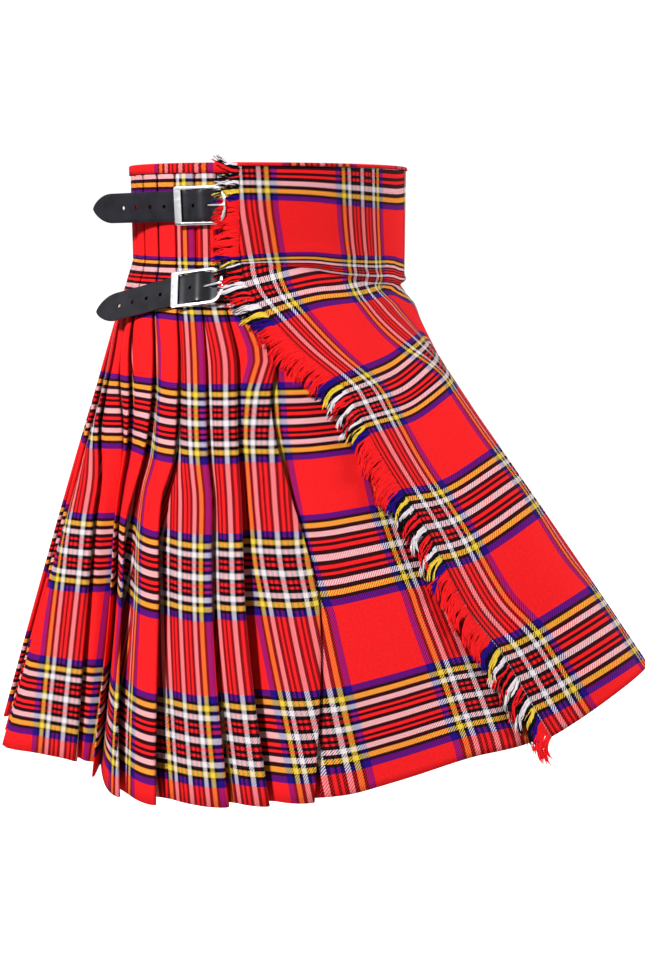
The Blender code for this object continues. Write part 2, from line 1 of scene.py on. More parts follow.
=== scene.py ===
"""A red tartan kilt, filled out as it is worn, dressed round its CAD frame.

Metres, +Z up. The wearer faces -Y, so the right hip is at -X. A place on the cloth
is its facing in degrees (0 the front, -90 the right hip, 180 the back) and its level
(-1 at the rim, 0 at the hip line, 1 at the hem). Out is the distance outside the
body ring.
"""
import math
import random

import bmesh
import bpy
from mathutils import Matrix, Vector


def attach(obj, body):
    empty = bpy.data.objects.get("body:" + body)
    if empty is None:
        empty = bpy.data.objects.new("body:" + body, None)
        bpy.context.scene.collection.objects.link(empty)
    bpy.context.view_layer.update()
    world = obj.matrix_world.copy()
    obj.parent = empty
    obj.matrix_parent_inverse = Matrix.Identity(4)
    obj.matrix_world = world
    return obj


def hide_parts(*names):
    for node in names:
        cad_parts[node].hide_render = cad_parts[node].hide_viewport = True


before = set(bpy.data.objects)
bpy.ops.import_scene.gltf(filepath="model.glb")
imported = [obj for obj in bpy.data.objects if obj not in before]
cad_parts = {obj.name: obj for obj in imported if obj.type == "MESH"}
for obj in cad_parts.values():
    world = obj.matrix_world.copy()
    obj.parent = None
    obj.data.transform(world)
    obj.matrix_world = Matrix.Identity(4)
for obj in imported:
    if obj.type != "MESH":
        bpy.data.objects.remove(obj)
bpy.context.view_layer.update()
scene = bpy.context.scene
shown_parts = scene.collection


# ---------------------------------------------------------------- the studio
# A white floor well below the hem and white surroundings. A strong key light to the
# right of the kilt, which shades the pleats, a softer one in front and a weak one
# behind. The camera looks down a little at the right front of the kilt.
CAMERA_DISTANCE = 1.5
CAMERA_HEIGHT = -0.0464
CAMERA_ROUND = math.radians(-60.0)
CAMERA_DOWN = math.radians(11.85)
CAMERA_ASIDE = math.radians(2.32)
FRAME_HIGH = 967
FOCAL_PIXELS = 1304.2

lens = bpy.data.cameras.new("camera")
lens.sensor_width = 36.0
lens.lens = lens.sensor_width * FOCAL_PIXELS / FRAME_HIGH
camera = bpy.data.objects.new("camera", lens)
shown_parts.objects.link(camera)
scene.camera = camera
inward = Vector((-math.sin(CAMERA_ROUND), math.cos(CAMERA_ROUND), 0.0))
beside = Vector((math.cos(CAMERA_ROUND), math.sin(CAMERA_ROUND), 0.0))
camera.location = -inward * CAMERA_DISTANCE + Vector((0.0, 0.0, CAMERA_HEIGHT))
gaze = inward * math.cos(CAMERA_ASIDE) + beside * math.sin(CAMERA_ASIDE)
gaze = gaze * math.cos(CAMERA_DOWN) - Vector((0.0, 0.0, math.sin(CAMERA_DOWN)))
camera.rotation_euler = gaze.to_track_quat("-Z", "Y").to_euler()


def set_all(thing, settings):
    for name, value in settings.items():
        setattr(thing, name, value)
    return thing


def feed(tree, node, feeds):
    """Give a node's sockets their values, or link them to the sockets that drive them."""
    for socket, value in feeds.items():
        if isinstance(value, bpy.types.NodeSocket):
            tree.links.new(value, node.inputs[socket])
        else:
            node.inputs[socket].default_value = value


def add_node(tree, kind, feeds=None, **settings):
    """A shader node with its settings and what feeds it."""
    made = set_all(tree.nodes.new(kind), settings)
    feed(tree, made, feeds or {})
    return made


def maths(tree, operation, first, second=0.0, third=0.0):
    return add_node(tree, "ShaderNodeMath", {0: first, 1: second, 2: third},
                    operation=operation).outputs[0]


def mix_colours(tree, share, first, second, blend="MIX"):
    made = add_node(tree, "ShaderNodeMix", {0: share, 6: first, 7: second},
                    data_type="RGBA", blend_type=blend)
    return made.outputs[2]


def new_material(name):
    """A material with its node tree and its shader."""
    material = bpy.data.materials.new(name)
    material.use_nodes = True
    tree = material.node_tree
    return material, tree, tree.nodes["Principled BSDF"]


FILL_STRENGTH = 0.10
SURROUNDINGS_STRENGTH = 1.05
SHARE_IN_REFLECTIONS = 0.75
scene.view_settings.view_transform = "Standard"
surroundings = bpy.data.worlds.new("surroundings")
surroundings.use_nodes = True
air = surroundings.node_tree
soft_fill = air.nodes["Background"]
feed(air, soft_fill, {"Color": (1, 1, 1, 1), "Strength": FILL_STRENGTH})
seen = add_node(air, "ShaderNodeBackground", {"Color": (1, 1, 1, 1),
                                              "Strength": SURROUNDINGS_STRENGTH})
ray = add_node(air, "ShaderNodeLightPath")
mirrored = add_node(air, "ShaderNodeMath",
                    {0: ray.outputs["Is Glossy Ray"], 1: SHARE_IN_REFLECTIONS,
                     2: ray.outputs["Is Camera Ray"]},
                    operation="MULTIPLY_ADD", use_clamp=True)
either = add_node(air, "ShaderNodeMixShader", {0: mirrored.outputs[0], 1: soft_fill.outputs[0],
                                               2: seen.outputs[0]})
air.links.new(either.outputs[0], air.nodes["World Output"].inputs["Surface"])
scene.world = surroundings


def soft_light(name, place_at, size, power):
    """A square area light turned toward the middle of the kilt."""
    light = bpy.data.lights.new(name, "AREA")
    light.size = size
    light.energy = power
    lamp = bpy.data.objects.new(name, light)
    lamp.location = place_at
    toward = Vector((0.0, 0.0, -0.25)) - lamp.location
    lamp.rotation_euler = toward.to_track_quat("-Z", "Y").to_euler()
    shown_parts.objects.link(lamp)


soft_light("key_light", (-2.4, 0.38, 1.05), 0.3, 100.0)
soft_light("front_light", (1.25, -2.3, 0.9), 0.8, 80.0)
soft_light("back_light", (1.8, 1.9, 1.4), 1.4, 24.0)


def finished_mesh(name, bm):
    mesh = bpy.data.meshes.new(name)
    bm.to_mesh(mesh)
    bm.free()
    return mesh


def shown_piece(name, mesh):
    """The piece that shows a mesh, linked into the scene."""
    piece = bpy.data.objects.new(name, mesh)
    shown_parts.objects.link(piece)
    return piece


def add_modifier(piece, name, kind, **settings):
    set_all(piece.modifiers.new(name, kind), settings)


FLOOR_HEIGHT = -1.15
FLOOR_REACH = 30.0
bm = bmesh.new()
bmesh.ops.create_grid(bm, x_segments=1, y_segments=1, size=FLOOR_REACH)
bmesh.ops.translate(bm, verts=bm.verts, vec=(0.0, 0.0, FLOOR_HEIGHT))
floor_mesh = finished_mesh("floor", bm)
floor_paint, floor_tree, floor_shader = new_material("floor")
floor_ray = add_node(floor_tree, "ShaderNodeLightPath")
feed(floor_tree, floor_shader, {
    "Base Color": (0.5, 0.5, 0.5, 1), "Roughness": 1.0, "Emission Color": (1, 1, 1, 1),
    "Emission Strength": floor_ray.outputs["Is Camera Ray"]})
floor_mesh.materials.append(floor_paint)
floor = shown_piece("floor", floor_mesh)


# ------------------------------------------------------------ the front apron
# The plain outer apron: one panel of wool twill that lies over the right hip and
# the front. It is woven in a repeating sett, the same in warp and weft. Its flare
# pulls a pinched crease into the front just under the hip line.
CLOTH = 0.0012
CLOTH_TOP = -0.0018
WAIST_HALF_WIDTH = 0.165
WAIST_HALF_DEPTH = 0.1445
FLARE_FULLNESS = 0.05
APRON_WIDTH = 0.42
APRON_OUT = 0.005

RING_COLUMNS = ("facing", "reach", "hem", "hip")
RING = (
    (-23.0, 0.428, -0.539, -0.118), (-10.6, 0.467, -0.489, -0.124),
    (2.0, 0.427, -0.510, -0.128), (15.0, 0.377, -0.544, -0.130),
    (40.0, 0.328, -0.588, -0.125), (75.0, 0.304, -0.603, -0.105),
    (120.0, 0.307, -0.612, -0.100), (165.0, 0.312, -0.620, -0.100),
    (210.0, 0.314, -0.621, -0.100), (224.0, 0.318, -0.614, -0.100),
    (234.0, 0.323, -0.603, -0.100), (240.5, 0.335, -0.594, -0.100),
    (249.5, 0.372, -0.586, -0.100), (257.5, 0.351, -0.584, -0.100),
    (264.8, 0.340, -0.585, -0.100), (270.0, 0.355, -0.592, -0.100),
    (276.0, 0.371, -0.593, -0.100), (284.0, 0.379, -0.592, -0.100),
    (295.0, 0.388, -0.584, -0.100), (306.0, 0.395, -0.577, -0.102),
    (317.0, 0.404, -0.560, -0.106), (326.0, 0.416, -0.545, -0.112),
)
# The fringed edge sweeps forward as it falls: level, facing
APRON_EDGE = (
    (-1.0, -70.5), (-0.4, -70.5), (0.0, -70.3), (0.05, -67.5), (0.10, -61.2),
    (0.17, -52.0), (0.245, -41.8), (0.30, -39.2), (0.40, -35.9), (0.55, -31.0),
    (0.72, -28.0), (0.82, -25.0), (1.0, -22.8),
)
PINCH_DEPTH = 0.006
PINCH_LEVEL = 0.01
PINCH_REACH = 0.045
PINCH = ((-62.0, 0.0), (-35.0, 0.7), (0.0, 1.0), (40.0, 1.0), (80.0, 0.0))
SETT = 0.138
BAND_HALF = 0.0335
WEFT_TOP = -0.001
WEFT_END = 0.605


def weft_rows(top, *levels):
    """Level and weft thread at the top edge, at each edge of the bands and at the hem."""
    edges = [k * SETT + side * BAND_HALF for k in range(5) for side in (-1, 1)]
    return tuple(zip(levels, [top] + edges[1:] + [WEFT_END]))


# The levels at which the bands' edges lie, at the fringed edge, at the front and at
# the far end: the flare and the pinch take up the cloth unevenly
WEFT_AT_EDGE = weft_rows(WEFT_TOP, -1.0, -0.66, -0.06, 0.115, 0.235, 0.345, 0.475, 0.63, 0.795,
                         0.955, 1.0)
WEFT_AT_FRONT = weft_rows(WEFT_TOP, -1.0, -0.66, -0.24, 0.02, 0.13, 0.25, 0.435, 0.605, 0.81,
                          0.985, 1.03)
PLEATS_WEFT_TOP = 0.006
WEFT_ON_PLEATS = weft_rows(PLEATS_WEFT_TOP, -1.0, -0.718, -0.028, 0.11, 0.2425, 0.3825, 0.525,
                           0.67, 0.815, 0.96, 1.0)
# The warp thread that lies on the fringed edge at each level
WARP_AT_EDGE = (
    (-1.0, -0.0015), (-0.5, -0.005), (-0.1, -0.012), (0.1, -0.014), (0.35, -0.016),
    (0.6, -0.0185), (1.0, -0.020),
)


def smooth_between(rows, column, where, period=None):
    """Read one column of a table at any place, on a smooth curve through its rows."""
    places = [row[0] for row in rows]
    values = [row[column] for row in rows]
    if period:
        where = (where - places[0]) % period + places[0]
        places = [p - period for p in places] + places + [p + period for p in places]
        values = values * 3
    if where <= places[0]:
        return values[0]
    if where >= places[-1]:
        return values[-1]
    i = max(k for k in range(len(places) - 1) if places[k] <= where)
    last = len(places) - 1

    def slope(k):
        before, after = max(k - 1, 0), min(k + 1, last)
        return (values[after] - values[before]) / (places[after] - places[before])

    span = places[i + 1] - places[i]
    t = (where - places[i]) / span
    start = (1 + 2 * t) * (1 - t) ** 2 * values[i] + t * (1 - t) ** 2 * span * slope(i)
    end = t * t * (3 - 2 * t) * values[i + 1] + t * t * (t - 1) * span * slope(i + 1)
    return start + end


def straight_between(rows, column, where):
    """Read one column of a table at any place, straight between its rows."""
    if where <= rows[0][0]:
        return rows[0][column]
    for before, after in zip(rows, rows[1:]):
        if where <= after[0]:
            t = (where - before[0]) / (after[0] - before[0])
            return before[column] + t * (after[column] - before[column])
    return rows[-1][column]


RING_READ = {
    name: [smooth_between(RING, RING_COLUMNS.index(name), half / 2, period=360.0)
           for half in range(720)]
    for name in RING_COLUMNS[1:]
}


def ring_value(name, facing):
    half = (facing % 360.0) * 2
    k = int(half)
    row = RING_READ[name]
    return row[k % 720] + (row[(k + 1) % 720] - row[k % 720]) * (half - k)


def waist_radius(facing):
    turn = math.radians(facing)
    return 1 / math.hypot(math.sin(turn) / WAIST_HALF_WIDTH, math.cos(turn) / WAIST_HALF_DEPTH)


def place(facing, level, out=0.0):
    """The point of the body ring at a facing and a level, moved outward."""
    hip = ring_value("hip", facing)
    radius = waist_radius(facing)
    if level < 0:
        height = hip * (1 + level)
    else:
        opened = level + FLARE_FULLNESS * level * (1 - level)
        radius += (ring_value("reach", facing) - radius) * opened
        height = hip + (ring_value("hem", facing) - hip) * level
    turn = math.radians(facing)
    radius += out
    return Vector((radius * math.sin(turn), -radius * math.cos(turn), height))


def level_at(facing, height):
    hip = ring_value("hip", facing)
    if height > hip:
        return -1 + height / hip
    return (height - hip) / (ring_value("hem", facing) - hip)


def top_level(facing):
    """The level of the cloth's top edge, just under the turn of the waistband."""
    return -1 + CLOTH_TOP / ring_value("hip", facing)


def walk(level, start, distances, out):
    """The facings that lie these distances along the cloth from a start."""
    step = 0.5
    facing = start
    here = place(facing, level, out)
    gone = 0.0
    found = []
    for distance in distances:
        while True:
            ahead = place(facing + step, level, out)
            stride = (ahead - here).length
            if gone + stride >= distance:
                found.append(facing + step * (distance - gone) / stride)
                break
            gone += stride
            facing += step
            here = ahead
    return found


def lengths_along(points):
    """How far along a run of points each one lies."""
    gone = [0.0]
    for a, b in zip(points, points[1:]):
        gone.append(gone[-1] + (b - a).length)
    return gone


def apron_edge(level):
    return smooth_between(APRON_EDGE, 1, level)


def turned_from(facing, middle=0.0):
    """Degrees round from one facing to another, between -180 and 180."""
    return (facing - middle + 180.0) % 360.0 - 180.0


def pinch(facing, level):
    """The crease that the flare pulls into the front just under the hip line."""
    near = max(0.0, 1 - abs(level - PINCH_LEVEL) / PINCH_REACH)
    return -PINCH_DEPTH * near * straight_between(PINCH, 1, turned_from(facing))


# Ridges where the flare gathers at the hip: facing and level of both ends, half
# width in levels, height. The left side has like ones nearer the last pleat.
RIDGES = (
    (-60.0, -0.130, -12.0, -0.230, 0.060, 0.0016),
    (-50.0, -0.020, -2.0, -0.090, 0.022, 0.0024),
    (-44.0, 0.030, 2.0, -0.020, 0.018, 0.0022),
    (-34.0, 0.075, 4.0, 0.045, 0.020, 0.0018),
    (8.0, -0.060, 46.0, -0.020, 0.022, 0.0020),
    (14.0, 0.050, 52.0, 0.070, 0.022, 0.0016),
)


def ridges(facing, level):
    """How far the gathers lift the outer apron at a place."""
    from_front = turned_from(facing)
    lift = 0.0
    for first, first_level, last, last_level, wide, high in RIDGES:
        share = (from_front - first) / (last - first)
        if 0 < share < 1:
            off = (level - first_level - (last_level - first_level) * share) / wide
            lift += high * math.sin(math.pi * share) ** 0.6 * math.exp(-off * off)
    return lift


def levels_down(top, steps_above, steps_below):
    """Rows of the cloth from its top edge to its hem."""
    rows = [top - top * k / steps_above for k in range(steps_above)]
    return rows + [k / steps_below for k in range(steps_below + 1)]


def spread(tree, value, low, high, to_low, to_high):
    """A value carried over from one range to another."""
    return add_node(tree, "ShaderNodeMapRange", {0: value, 1: low, 2: high, 3: to_low,
                                                 4: to_high}).outputs[0]


def bumped(tree, height, strength, distance):
    return add_node(tree, "ShaderNodeBump", {"Height": height, "Strength": strength,
                                             "Distance": distance}).outputs[0]


def effect_group(name, inputs, outputs):
    """An empty node group with named sockets; inputs are (name, kind, value)."""
    group = bpy.data.node_groups.new(name, "ShaderNodeTree")
    for socket_name, kind, value in inputs:
        socket = group.interface.new_socket(socket_name, in_out="INPUT", socket_type=kind)
        if value is not None:
            socket.default_value = value
    for socket_name, kind in outputs:
        group.interface.new_socket(socket_name, in_out="OUTPUT", socket_type=kind)
    return group, group.nodes.new("NodeGroupInput"), group.nodes.new("NodeGroupOutput")


# The fourth number is how much of a red yarn each colour hides where they cross
WHITE_YARN = (0.74, 0.66, 0.70, 0.10)
BLACK_YARN = (0.003, 0.002, 0.004, 0.94)
RED_YARN = (0.80, 0.012, 0.014, 0.0)
YELLOW_YARN = (0.76, 0.52, 0.05, 0.05)
BLUE_YARN = (0.016, 0.003, 0.17, 0.78)
# Half of the sett, counted out from the middle of its white stripe: each colour and
# the distance in millimetres at which it ends
SETT_STRIPES = (
    (WHITE_YARN, 2.3), (BLACK_YARN, 5.5), (RED_YARN, 8.4), (BLACK_YARN, 10.8),
    (RED_YARN, 13.1), (BLACK_YARN, 16.2), (WHITE_YARN, 20.6), (BLACK_YARN, 24.2),
    (YELLOW_YARN, 28.4), (BLACK_YARN, 31.2), (BLUE_YARN, 36.5), (RED_YARN, 69.0),
)


def sett_group():
    """The colour of the yarn that lies a distance across the cloth."""
    group, given, result = effect_group(
        "Sett", (("Distance", "NodeSocketFloat", 0.0),),
        (("Colour", "NodeSocketColor"), ("Hides red", "NodeSocketFloat")))
    folded = maths(group, "PINGPONG", given.outputs[0], SETT / 2)
    share = maths(group, "DIVIDE", folded, SETT / 2)
    stripes = add_node(group, "ShaderNodeValToRGB", {0: share})
    ramp = stripes.color_ramp
    ramp.interpolation = "CONSTANT"
    starts = [0.0] + [end / 1000 / (SETT / 2) for _, end in SETT_STRIPES]
    for k, (colour, _) in enumerate(SETT_STRIPES):
        stop = ramp.elements[0] if k == 0 else ramp.elements.new(starts[k])
        stop.position = starts[k]
        stop.color = colour
    ramp.elements.remove(ramp.elements[-1])
    feed(group, result, {0: stripes.outputs[0], 1: stripes.outputs[1]})
    return group


SETT_GROUP = sett_group()


THREAD = 0.0006
YARN_BUMP = 0.0003
WARP_FADE = 0.62
WARP_HIDES = 0.5
# Slope and least value of the wool's mottling, of the painted shade that darkens each yarn
# toward the gap beside it, and of the roughness
WOOL_MOTTLE = (0.34, 0.83)
YARN_GAP_SHADE = (0.45, 0.58)
WOOL_ROUGH = (0.15, 0.74)
WOOL_SHINE = 0.06


def weave_group():
    """A two-and-two twill of warp and weft yarns, each coloured by the sett, with shade painted toward
    the gaps between them.
    """
    group, given, result = effect_group(
        "Tartan twill",
        (("Cloth", "NodeSocketVector", None), ("Thread", "NodeSocketFloat", THREAD)),
        (("Colour", "NodeSocketColor"), ("Height", "NodeSocketFloat"),
         ("Roughness", "NodeSocketFloat")))
    cloth, thread = given.outputs[0], given.outputs[1]
    parts = add_node(group, "ShaderNodeSeparateXYZ", {0: cloth})
    warp, weft = (add_node(group, "ShaderNodeGroup", node_tree=SETT_GROUP) for _ in range(2))
    feed(group, warp, {0: parts.outputs[0]})
    feed(group, weft, {0: parts.outputs[1]})
    across = maths(group, "DIVIDE", parts.outputs[0], thread)
    down = maths(group, "DIVIDE", parts.outputs[1], thread)
    counted = maths(group, "ADD", maths(group, "FLOOR", across), maths(group, "FLOOR", down))
    turn = add_node(group, "ShaderNodeMath", {0: counted, 1: 4.0}, operation="FLOORED_MODULO")
    warp_up = maths(group, "LESS_THAN", turn.outputs[0], 1.5)
    # weft stripes hide the red warp well; the red weft half hides the warp stripes
    red_weft = maths(group, "LESS_THAN", weft.outputs[1], 0.02)
    red_warp = maths(group, "LESS_THAN", warp.outputs[1], 0.02)
    warp_hides = maths(group, "MULTIPLY", red_weft,
                       maths(group, "MULTIPLY", warp.outputs[1], WARP_HIDES))
    weft_hides = maths(group, "MULTIPLY", red_warp, weft.outputs[1])
    faded = maths(group, "MULTIPLY_ADD", warp.outputs[1], -WARP_FADE, WARP_FADE)
    warp_colour = mix_colours(group, maths(group, "MULTIPLY", red_weft, faded),
                              warp.outputs[0], weft.outputs[0])
    warp_top = mix_colours(group, weft_hides, warp_colour, weft.outputs[0])
    weft_top = mix_colours(group, warp_hides, weft.outputs[0], warp.outputs[0])
    colour = mix_colours(group, warp_up, weft_top, warp_top)
    wool = add_node(group, "ShaderNodeTexNoise", {"Vector": cloth, "Scale": 420.0, "Detail": 2.0})
    light = maths(group, "MULTIPLY_ADD", wool.outputs[0], *WOOL_MOTTLE)
    weft_round, warp_round = (
        maths(group, "SINE", maths(group, "MULTIPLY", maths(group, "FRACT", yarn), math.pi))
        for yarn in (down, across))
    height = add_node(group, "ShaderNodeMix", {0: warp_up, 2: weft_round, 3: warp_round},
                      data_type="FLOAT").outputs[0]
    # painted shade: each yarn's colour darkens toward its edges, where the gaps between yarns lie in
    # shade
    painted_gap_shade = maths(group, "MULTIPLY_ADD", height, *YARN_GAP_SHADE)
    shaded = mix_colours(group, 1.0, colour, maths(group, "MULTIPLY", light, painted_gap_shade), "MULTIPLY")
    rough = maths(group, "MULTIPLY_ADD", wool.outputs[0], *WOOL_ROUGH)
    feed(group, result, {0: shaded, 1: height, 2: rough})
    return group


WEAVE_GROUP = weave_group()


def tartan_cloth(name):
    """Woven wool in the sett, read from the piece's own cloth coordinates."""
    material, tree, shader = new_material(name)
    cloth = add_node(tree, "ShaderNodeUVMap", uv_map="cloth")
    weave = add_node(tree, "ShaderNodeGroup", node_tree=WEAVE_GROUP)
    feed(tree, weave, {"Cloth": cloth.outputs[0]})
    bump = bumped(tree, weave.outputs["Height"], 0.25, YARN_BUMP)
    feed(tree, shader, {"Base Color": weave.outputs["Colour"],
                        "Roughness": weave.outputs["Roughness"], "Normal": bump,
                        "Specular IOR Level": WOOL_SHINE})
    return material


def cloth_piece(name, grid, threads, material, thickness=CLOTH):
    """A wall of cloth from rows of points; threads gives (warp, weft) by face corner."""
    bm = bmesh.new()
    laid = [[bm.verts.new(point) for point in row] for row in grid]
    uv = bm.loops.layers.uv.new("cloth")
    for r in range(len(laid) - 1):
        for c in range(len(laid[0]) - 1):
            corners = ((r, c), (r + 1, c), (r + 1, c + 1), (r, c + 1))
            face = bm.faces.new([laid[i][j] for i, j in corners])
            face.smooth = True
            for loop, (i, j) in zip(face.loops, corners):
                loop[uv].uv = threads(i, j, c)
    mesh = finished_mesh(name, bm)
    mesh.materials.append(material)
    piece = shown_piece(name, mesh)
    add_modifier(piece, "wall", "SOLIDIFY", thickness=thickness, offset=0.0,
                 use_even_offset=True)
    return piece


# How far from the fringed edge the weft's levels are those of the front, and from
# where and over what width they turn into those of the pleats
FRONT_FROM_EDGE = 0.19
LEAVES_FRONT = 0.21
LEAVES_WIDE = 0.20


def apron_weft(distance, level):
    """The weft thread at a distance from the fringed edge and a level."""
    at_edge = smooth_between(WEFT_AT_EDGE, 1, level)
    at_front = smooth_between(WEFT_AT_FRONT, 1, level)
    at_end = smooth_between(WEFT_ON_PLEATS, 1, level)
    forward = min(distance / FRONT_FROM_EDGE, 1.0)
    beyond = min(max((distance - LEAVES_FRONT) / LEAVES_WIDE, 0.0), 1.0)
    here = at_edge + (at_front - at_edge) * forward
    return here + (at_end - here) * beyond


WOOL = tartan_cloth("tartan wool")


def make_front_apron():
    across = 84
    levels = levels_down(top_level(-20.0), 26, 96)
    distances = [APRON_WIDTH * c / across for c in range(across + 1)]
    grid, weft = [], []
    for level in levels:
        edge = apron_edge(level)
        facings = [edge] + walk(level, edge, distances[1:], APRON_OUT)
        grid.append([place(f, level, APRON_OUT + pinch(f, level) + ridges(f, level))
                     for f in facings])
        weft.append([apron_weft(distance, level) for distance in distances])
    warp = [smooth_between(WARP_AT_EDGE, 1, level) for level in levels]

    def threads(r, c, face):
        return warp[r] + distances[c], weft[r][c]

    return cloth_piece("outer_apron", grid, threads, WOOL)


outer_apron = make_front_apron()
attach(outer_apron, "root")
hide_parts("front_apron")


# ------------------------------------------------------------ the pleated back
# One length of the same cloth laid in knife pleats, each turned under its
# neighbour, stitched flat from the rim to the hip line and hanging free below.
# The pleats near the right hip are uneven, as they were pressed by hand.
FOLD_LEVELS = (0.0, 0.10, 0.18, 0.25, 0.32, 0.39, 0.45, 0.53, 0.66, 1.0)
RIGHT_FOLDS = (
    (218.0, 222.2, 225.3, 228.1, 230.6, 232.8, 234.3, 235.7, 237.5, 240.5),
    (226.0, 230.3, 237.0, 243.7, 248.8, 253.0, 255.4, 256.7, 259.5, 264.8),
    (235.0, 238.4, 244.0, 249.8, 254.3, 257.2, 258.6, 259.5, 261.9, 267.0),
    (244.0, 248.0, 252.0, 255.8, 258.6, 260.4, 260.8, 261.8, 264.3, 269.3),
    (254.5, 258.3, 262.3, 264.7, 266.2, 266.9, 266.0, 265.3, 269.0, 276.8),
    (264.0, 268.8, 272.4, 274.5, 276.0, 276.9, 275.4, 276.3, 278.9, 283.0),
    (272.5, 278.3, 281.2, 282.9, 284.3, 285.8, 287.4, 288.2, 289.5, 294.0),
    (281.0, 286.5, 290.4, 291.4, 292.1, 292.9, 293.7, 294.4, 295.4, 299.5),
    (290.0, 297.0, 302.0, 300.1, 300.6, 302.4, 304.0, 306.2, 308.2, 305.5),
)
# How far behind the others two of those folds hang at the hem
SET_BACK = {2: 0.022, 3: 0.005}
EVEN_FOLDS = 14
FOLDS = EVEN_FOLDS + len(RIGHT_FOLDS)
PLEAT_OPENS_AT = 0.06
# A pleat narrower than this many degrees hangs shallower in proportion
FULL_PLEAT = 12.0
# Each pleat's section, as shares of the way to the next fold and distances out,
# stitched flat and then fully open at the hem; its fold lies between rows 3 and 4
PLEAT = (
    (0.03, -0.0048, 0.05, -0.021),
    (0.17, 0.0, 0.40, -0.011),
    (0.70, 0.0, 0.75, -0.002),
    (1.0, 0.0, 1.0, 0.0),
    (1.0, -0.0024, 0.97, -0.006),
    (0.70, -0.0024, 0.62, -0.014),
    (0.38, -0.0024, 0.30, -0.018),
    (0.38, -0.0048, 0.28, -0.024),
)
FOLD_AT = 3.5 / len(PLEAT)
# The warp thread on each of the last folds at these levels
WARP_LEVELS = (0.0, 0.25, 0.40, 0.64, 1.0)
FOLD_WARPS = (
    (0.056, 0.056, 0.056, 0.056, 0.056),
    (0.009, 0.009, 0.009, 0.0115, 0.0175),
    (-0.050, -0.048, -0.045, -0.030, -0.020),
    (0.085, 0.082, 0.080, 0.080, 0.080),
    (-0.050, -0.048, -0.045, -0.034, -0.016),
    (0.060, 0.061, 0.0615, 0.0625, 0.0635),
    (0.037, 0.037, 0.037, 0.0375, 0.0385),
    (0.0115, 0.0115, 0.0115, 0.0115, 0.0115),
    (-0.0100, -0.005, 0.010, 0.030, -0.015),
)
PLEAT_TAKES = 0.112


def tuck_at(wide, deep):
    """The tuck behind a fold: its share of the way to the next fold, and its distance out."""
    shut_along, shut_out, open_along, open_out = PLEAT[-1]
    return (shut_along + (open_along - shut_along) * wide, shut_out + (open_out - shut_out) * deep)


def fold_facing(fold, level):
    """Where a fold edge lies at a level; fold 0 is beside the left hip."""
    down = max(level, 0.0)
    if fold >= EVEN_FOLDS:
        rows = tuple(zip(FOLD_LEVELS, RIGHT_FOLDS[fold - EVEN_FOLDS]))
        return smooth_between(rows, 1, down)
    first = walk(level, apron_edge(level), [APRON_WIDTH], APRON_OUT)[0]
    last = fold_facing(EVEN_FOLDS, level)
    return first + (last - first) * fold / EVEN_FOLDS


def opening(level):
    """How far the pleats have opened at a level: 0 stitched flat, 1 at the hem."""
    t = min(max((level - PLEAT_OPENS_AT) / (1 - PLEAT_OPENS_AT), 0.0), 1.0)
    return t * (2 - t)


def pleat_depth(before, after, level):
    """How deep a pleat hangs, from 0 stitched flat to 1 for a wide one at the hem."""
    return opening(level) * min((after - before) / FULL_PLEAT, 1.0)


def set_back(fold, level):
    return SET_BACK.get(fold - EVEN_FOLDS, 0.0) * opening(level)


def fold_warp(fold, level):
    if fold < EVEN_FOLDS:
        return FOLD_WARPS[0][0] - PLEAT_TAKES * (EVEN_FOLDS - fold)
    return smooth_between(tuple(zip(WARP_LEVELS, FOLD_WARPS[fold - EVEN_FOLDS])), 1, level)


def softened(line, keep=0.25):
    """The same run of places with its corners rounded off."""
    soft = [line[0]]
    for before, after in zip(line, line[1:]):
        soft.append(tuple(a + (b - a) * keep for a, b in zip(before, after)))
        soft.append(tuple(b + (a - b) * keep for a, b in zip(before, after)))
    return soft + [line[-1]]


def make_pleated_back():
    levels = levels_down(top_level(180.0), 8, 36)
    grid, owners = [], []
    for level in levels:
        wide = opening(level)
        edges = [fold_facing(k, level) for k in range(FOLDS)]
        pitch = edges[1] - edges[0]
        along, start_out = tuck_at(wide, wide)
        line = [(edges[0] - pitch * (1 - along), start_out, 0.0)]
        for k, (before, after) in enumerate(zip(edges, edges[1:])):
            near, far = set_back(k, level), set_back(k + 1, level)
            deep = pleat_depth(before, after, level)
            for row, (along_shut, out_shut, along_open, out_open) in enumerate(PLEAT):
                along = along_shut + (along_open - along_shut) * wide
                out = out_shut + (out_open - out_shut) * deep
                out -= near + (far - near) * along
                line.append((before + (after - before) * along, out, k + 1 + row / len(PLEAT)))
        line = softened(softened(line))
        grid.append([place(facing, level, out) for facing, out, _ in line])
        owners.append([owner for _, _, owner in line])
    # each pleat's warp is counted along the cloth from its own fold edge
    owner = owners[0]
    pleat_of = [max(1, int(here + 1e-6)) for here in owner]
    fold_column = {}
    for c, k in enumerate(pleat_of):
        best = fold_column.setdefault(k, c)
        if abs(owner[c] - k - FOLD_AT) < abs(owner[best] - k - FOLD_AT):
            fold_column[k] = c
    gone = [lengths_along(row) for row in grid]
    weft = [smooth_between(WEFT_ON_PLEATS, 1, level) for level in levels]
    warps = [[fold_warp(k, level) for k in range(FOLDS)] for level in levels]

    def threads(r, c, face):
        k = pleat_of[face]
        return warps[r][k] + gone[r][c] - gone[r][fold_column[k]], weft[r]

    return cloth_piece("pleats", grid, threads, WOOL)


pleats = make_pleated_back()
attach(pleats, "root")
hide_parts("pleated_back")


# ------------------------------------------------------------- the under apron
# The cloth runs on from the last pleat, under the outer apron, as a plain panel
# round the right hip and the front.
UNDER_APRON_WIDTH = 0.37
UNDER_APRON_OUT = -0.001
SEAM_GAP = 0.0004
RISE_WIDTH = 0.075
